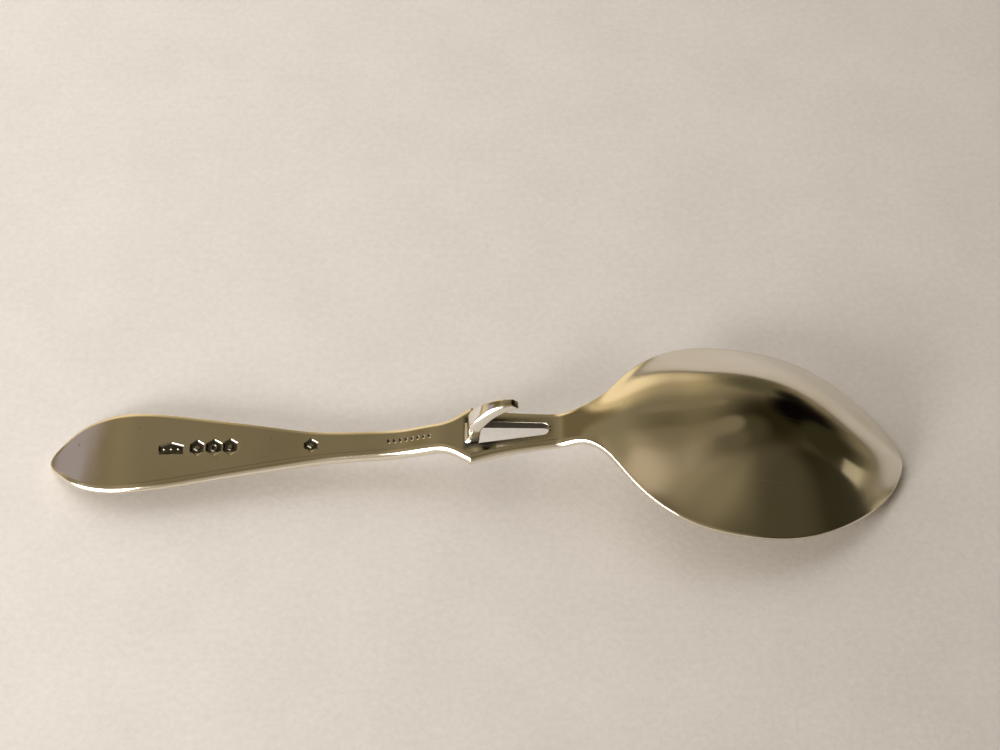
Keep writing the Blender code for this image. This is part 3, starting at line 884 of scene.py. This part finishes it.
def silver(name, clean, warm, dull, has_tarnish_shade=False):
    """Polished silver: a bright metal, warmer and duller in patches, with hairline scratches
    that lie in a few directions, and sparse specks of tarnish."""
    material = bpy.data.materials.new(name)
    material.use_nodes = True
    tree = material.node_tree
    shader = tree.nodes["Principled BSDF"]
    shader.inputs["Metallic"].default_value = 1.0
    place = add(tree, "ShaderNodeTexCoord", (-2000, 0)).outputs["Object"]

    bloom = noise(tree, (-1400, -1700), place, *BLOOM)
    patches = ramp(tree, (-1200, 400), noise(
        tree, (-1400, 400), turned(tree, (-1600, 400), place, PATTERN_TURN, (1, 1, 1)),
        *PATCHES), PATCH_STOPS)
    tone = blended(tree, (-900, 400), patches, clean, warm)
    specks = add(tree, "ShaderNodeTexVoronoi", (-1400, 100))
    specks.inputs["Scale"].default_value = SPECK_SCALE
    tree.links.new(place, specks.inputs["Vector"])
    spot = ramp(tree, (-1200, 100), specks.outputs["Distance"], SPECK_STOPS)
    sparse = ramp(tree, (-1200, -100), noise(
        tree, (-1400, -100), place, *SPECK_SPREAD), SPECK_SPREAD_STOPS)
    spotted = reckon(tree, (-1000, 0), "MULTIPLY", spot, sparse)
    tone = blended(tree, (-700, 400), reckon(
        tree, (-850, 0), "MULTIPLY", spotted, SPECK_STRENGTH), tone, SPECK_TONE)
    # Darkens by the point attribute: tarnish in the marks, and tarnish with painted shade round the
    # slot
    if has_tarnish_shade:
        tarnish_shade_share = add(tree, "ShaderNodeAttribute", (-1200, 700), attribute_name="dark_tarnish_and_painted_shade")
        tarnish_shade_share = reckon(tree, (-1000, 700), "MULTIPLY", tarnish_shade_share.outputs["Fac"], reckon(
            tree, (-1200, 900), "MULTIPLY_ADD", bloom, *TARNISH_SHADE_MOTTLE))
        tone = blended(tree, (-500, 400), tarnish_shade_share, tone, TARNISH_SHADE_TONE)
    tree.links.new(tone, shader.inputs["Base Color"])

    lines = None
    for i, turn in enumerate(SCRATCH_TURNS):
        low = -400 - 300 * i
        fine = noise(tree, (-1400, low), turned(
            tree, (-1600, low), place, turn + PATTERN_TURN, SCRATCH_STRETCH,
            (0.3 * i, 0.1, 0.2)), *SCRATCHES)
        hair = ramp(tree, (-1200, low), fine, SCRATCH_STOPS)
        gate = ramp(tree, (-1200, low - 150), noise(
            tree, (-1400, low - 150), turned(
                tree, (-1600, low - 150), place, turn, (1, 1, 1), (i, PATTERN_TURN, 0)),
            *SCRATCH_SPREAD), SCRATCH_SPREAD_STOPS)
        hair = reckon(tree, (-950, low), "MULTIPLY", hair, gate)
        lines = hair if lines is None else reckon(tree, (-800, low), "MAXIMUM", lines, hair)
    rough = reckon(tree, (-600, -300), "MULTIPLY_ADD", patches, PATCH_ROUGH, dull)
    rough = reckon(tree, (-450, -300), "MULTIPLY_ADD", bloom, BLOOM_ROUGH, rough)
    rough = reckon(tree, (-300, -300), "MULTIPLY_ADD", lines, SCRATCH_ROUGH, rough)
    rough = reckon(tree, (-150, -300), "MULTIPLY_ADD", spotted, SPECK_ROUGH, rough)
    if has_tarnish_shade:
        rough = reckon(tree, (0, -300), "MULTIPLY_ADD", tarnish_shade_share, TARNISH_SHADE_ROUGH, rough)
    tree.links.new(rough, shader.inputs["Roughness"])

    skin = noise(tree, (-1400, -2000), place, *SKIN)
    swell = noise(tree, (-1400, -2200), place, *SWELL)
    height = reckon(tree, (-1000, -2000), "MULTIPLY", skin, SKIN_HEIGHT)
    height = reckon(tree, (-850, -2000), "MULTIPLY_ADD", swell, SWELL_HEIGHT, height)
    height = reckon(tree, (-700, -2000), "MULTIPLY_ADD", lines, SCRATCH_HEIGHT, height)
    height = reckon(tree, (-550, -2000), "MULTIPLY_ADD", spotted, SPECK_HEIGHT, height)
    rise(tree, (-350, -2000), height, shader, SILVER_BUMP_STRENGTH, SILVER_BUMP)
    return material


# The paper: its patterns as on the silver, how much of each, its tones, and its bump over a
# distance in metres. It reaches this far from the spoon in metres
PAPER_GRAIN = (900.0, 4.0, 0.6)
PAPER_CLOUD = (60.0, 3.0)
PAPER_GRAIN_SHARE = 0.6
PAPER_CLOUD_SHARE = 0.4
PAPER_TONES = [(0.3, (0.75, 0.72, 0.7)), (0.7, (0.853, 0.825, 0.807))]
PAPER_ROUGHNESS = 0.9
PAPER_SPECULAR = 0.15
PAPER_BUMP = 0.0002
PAPER_BUMP_STRENGTH = 0.35
FLOOR_HALF = 4.0


def paper():
    """Pale warm paper with a faint grain of fibres."""
    material = bpy.data.materials.new("pale_paper")
    material.use_nodes = True
    tree = material.node_tree
    shader = tree.nodes["Principled BSDF"]
    shader.inputs["Roughness"].default_value = PAPER_ROUGHNESS
    shader.inputs["Specular IOR Level"].default_value = PAPER_SPECULAR
    place = add(tree, "ShaderNodeTexCoord", (-1200, 0)).outputs["Object"]
    grain = noise(tree, (-800, 0), place, *PAPER_GRAIN)
    cloud = noise(tree, (-800, -300), place, *PAPER_CLOUD)
    mottled = reckon(tree, (-600, 0), "MULTIPLY_ADD", grain, PAPER_GRAIN_SHARE, reckon(
        tree, (-700, -300), "MULTIPLY", cloud, PAPER_CLOUD_SHARE))
    tone = ramp(tree, (-400, 0), mottled, PAPER_TONES)
    tree.links.new(tone, shader.inputs["Base Color"])
    rise(tree, (-300, -300), grain, shader, PAPER_BUMP_STRENGTH, PAPER_BUMP)
    return material


def make_floor():
    mesh = bmesh.new()
    bmesh.ops.create_grid(mesh, x_segments=4, y_segments=4, size=FLOOR_HALF)
    data = bpy.data.meshes.new("paper_floor")
    mesh.to_mesh(data)
    mesh.free()
    data.materials.append(paper())
    floor = bpy.data.objects.new("paper_floor", data)
    bpy.context.scene.collection.objects.link(floor)


def towards(azimuth, elevation):
    a = math.radians(azimuth)
    e = math.radians(elevation)
    return Vector((math.cos(e) * math.cos(a), math.cos(e) * math.sin(a), math.sin(e)))


# The soft glows round the spoon as (azimuth, elevation, where its core ends and where it has faded
# away in degrees from its middle, colour), and the tone of the room between them
GLOWS = (
    (229, 67, 2, 27, (0.365, 0.289, 0.179)),
    (228, 56, 1, 16, (0.531, 0.432, 0.293)),
    (132, 3, 19, 45, (0.73, 0.57, 0.31)),
    (107, 3, 3, 17, (1.05, 0.85, 0.53)),
    (324, 8, 27, 35, (0.036, 0.031, 0.016)),
    (14, 57, 5, 63, (0.021, 0.016, 0.006)),
    (33, 25, 13, 28, (0.002, 0.001, 0.001)),
    (73, 14, 6, 24, (0.098, 0.083, 0.045)),
    (52, 14, 2, 13, (0.005, 0.005, 0.003)),
    (110, 52, 1, 9, (0.218, 0.178, 0.106)),
    (140, 27, 10, 23, (0.163, 0.12, 0.06)),
    (322, 76, 1, 26, (0.063, 0.053, 0.026)),
    (8, 18, 10, 19, (0.031, 0.027, 0.011)),
    (313, 29, 1, 28, (0.071, 0.06, 0.032)),
    (275, 70, 1, 16, (0.115, 0.094, 0.054)),
    (267, 7, 12, 28, (0.46, 0.4, 0.32)),
    (200, 86, 6, 15, (0.2, 0.165, 0.1)),
)
ROOM_TONE = (0.243, 0.199, 0.116)


def make_room():
    """The soft light of the room, warmer and brighter to some sides and dark to one."""
    world = bpy.data.worlds.new("room")
    bpy.context.scene.world = world
    world.use_nodes = True
    tree = world.node_tree
    background = tree.nodes["Background"]
    direction = add(tree, "ShaderNodeTexCoord", (-1600, 0)).outputs["Generated"]
    tone = ROOM_TONE
    for i, (azimuth, elevation, core, fade, colour) in enumerate(GLOWS):
        facing = add(tree, "ShaderNodeVectorMath", (-1300, -250 * i), operation="DOT_PRODUCT")
        tree.links.new(direction, facing.inputs[0])
        facing.inputs[1].default_value = towards(azimuth, elevation)
        share = add(tree, "ShaderNodeMapRange", (-1100, -250 * i),
                    interpolation_type="SMOOTHSTEP")
        tree.links.new(facing.outputs["Value"], share.inputs["Value"])
        share.inputs["From Min"].default_value = math.cos(math.radians(fade))
        share.inputs["From Max"].default_value = math.cos(math.radians(core))
        tone = blended(tree, (-800 + 180 * i, 0), share.outputs["Result"], tone, colour)
    tree.links.new(tone, background.inputs["Color"])


# Lights as (name, azimuth, elevation, distance, size, power, colour, seen in the silver). The
# silver reflects the first three, and the other three light the paper alone
LIGHTS = (
    ("window", 221, 21, 1.6, (1.85, 1.2), 60, (1.0, 0.98, 0.95), True),
    ("tip_panel", 154.1, 22.8, 0.212, (0.085, 0.072), 0.0057, (0.73, 0.71, 0.94), True),
    ("doorway", 358, 6, 1.0, (0.15, 0.12), 0.02, (1.0, 0.86, 0.6), True),
    ("soft_key", 226, 29, 0.4, (0.125, 0.125), 0.76, (1.0, 0.955, 0.92), False),
    ("soft_left", 156, 47, 0.26, (0.34, 0.34), 0.34, (1.0, 0.96, 0.925), False),
    ("soft_top", 98, 53, 0.33, (0.42, 0.42), 0.42, (1.0, 0.96, 0.925), False),
)


def make_light(name, azimuth, elevation, distance, size, power, colour, seen):
    light = bpy.data.lights.new(name, "AREA")
    light.shape = "RECTANGLE"
    light.size, light.size_y = size
    light.energy = power
    light.color = colour
    item = bpy.data.objects.new(name, light)
    item.location = towards(azimuth, elevation) * distance
    item.rotation_euler = item.location.to_track_quat("Z", "Y").to_euler()
    item.visible_glossy = seen
    item.visible_diffuse = not seen
    bpy.context.scene.collection.objects.link(item)


# The camera: its place in metres, its pitch off straight down and its roll in degrees, its lens
# and sensor in millimetres, and its clip distances in metres
CAMERA_PLACE = (0.00402, -0.2036, 0.31837)
CAMERA_PITCH = 35.0
CAMERA_ROLL = -0.05
CAMERA_LENS = 79.2
CAMERA_SENSOR = 36.0
CAMERA_CLIP = (0.01, 20.0)


def make_camera():
    lens = bpy.data.cameras.new("camera")
    lens.lens = CAMERA_LENS
    lens.sensor_width = CAMERA_SENSOR
    lens.clip_start, lens.clip_end = CAMERA_CLIP
    camera = bpy.data.objects.new("camera", lens)
    camera.location = CAMERA_PLACE
    camera.rotation_euler = (Matrix.Rotation(math.radians(CAMERA_PITCH), 3, "X") @ Matrix.Rotation(
        math.radians(CAMERA_ROLL), 3, "Z")).to_euler()
    bpy.context.scene.collection.objects.link(camera)
    bpy.context.scene.camera = camera


# The silver of each piece: name, clean and warm tones, how dull it is, whether it has dark tarnish
# (with painted shade round the slot on the stem)
CLEAN_SILVER = (0.82, 0.775, 0.68)
make_handle(silver("handle_silver_finish", CLEAN_SILVER, (0.8, 0.735, 0.6), 0.075, True))
make_stem(silver("stem_silver_finish", CLEAN_SILVER, (0.78, 0.71, 0.57), 0.075, True))
make_hook(silver("hook_silver_finish", (0.86, 0.83, 0.76), (0.82, 0.77, 0.66), 0.06))
make_bowl(silver("bowl_silver_finish", CLEAN_SILVER, (0.79, 0.725, 0.59), 0.06))
make_floor()
make_room()
for light in LIGHTS:
    make_light(*light)
make_camera()
bpy.context.scene.view_settings.view_transform = "Standard"
